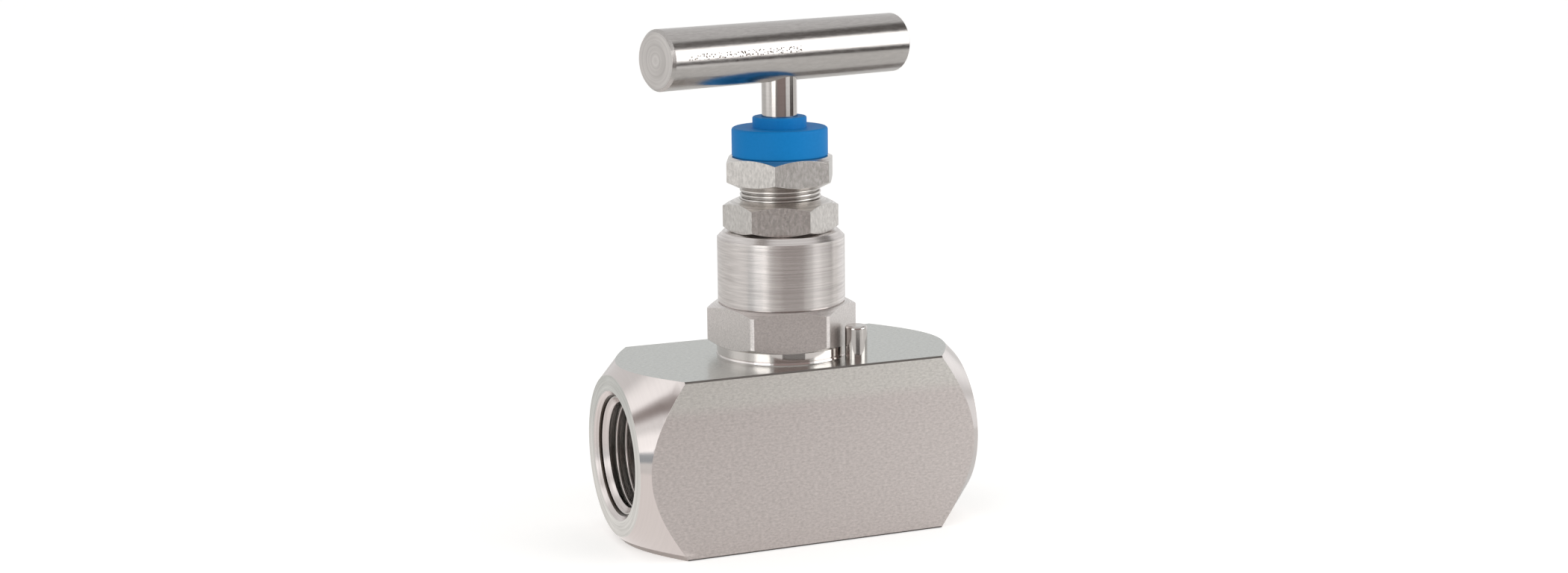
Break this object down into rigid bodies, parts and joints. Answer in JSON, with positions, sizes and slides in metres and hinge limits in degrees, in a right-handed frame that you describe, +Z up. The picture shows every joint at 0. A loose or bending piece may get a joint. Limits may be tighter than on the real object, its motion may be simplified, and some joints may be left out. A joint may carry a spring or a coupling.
{
  "type": "needle valve",
  "caption": "Hand needle valve: square bar-stock body, in-line threaded ports, screwed bonnet, packed gland, dust cap and T-bar on a rising stem.",
  "frame": {"origin": "centre of the body's bottom face, on the stem's axis", "axes": "+Z up the stem, +X with the flow from the inlet port to the outlet port, +Y towards the back face"},
  "size_m": [0.065, 0.032, 0.0918],
  "materials": {
    "ground_steel": "satin, surface ground bar stock",
    "turned_steel": "fine turned",
    "milled_steel": "satin flats, turned chamfers",
    "drawn_steel": "bright drawn bar with sawn and faced ends",
    "polished_steel": "polished",
    "hardened_steel": "ground and lapped",
    "spring_steel": "bright spring steel",
    "gasket_steel": "soft annealed sheet",
    "black_steel": "black oxide",
    "bronze": "turned bronze",
    "ptfe": "waxy white",
    "rubber": "matte",
    "blue_plastic": "semi-matte moulded"
  },
  "bodies": {
    "valve_body": {"body": "ground_steel", "bonnet": "turned_steel", "bonnet_gasket": "gasket_steel", "bonnet_lock_pin": "polished_steel", "packing_base": "turned_steel", "packing_ring_1": "ptfe", "packing_ring_2": "ptfe", "packing_ring_3": "ptfe", "packing_head": "turned_steel", "gland_bush": "bronze", "gland_nut": "milled_steel", "lock_nut": "milled_steel", "wiper_ring": "rubber", "dust_cap": "blue_plastic"},
    "needle_tip": {"needle": "hardened_steel", "thrust_ball": "hardened_steel"},
    "handle": {"stem": "polished_steel", "needle_clip": "spring_steel", "t_bar": "drawn_steel", "grub_screw": "black_steel"}
  },
  "joints": [
    {"name": "stem_lift", "type": "slide", "parent": "valve_body", "child": "needle_tip", "axis": [0, 0, 1], "range_m": [0, 0.00469]},
    {"name": "handle_turn", "type": "hinge", "parent": "needle_tip", "child": "handle", "pos_m": [0, 0, 0.0865], "axis": [0, 0, 1], "range_deg": [0, 1350]}
  ],
  "couplings": [
    {"joint": "handle_turn", "follows": "stem_lift", "rad_per_m": 5026.5}
  ]
}
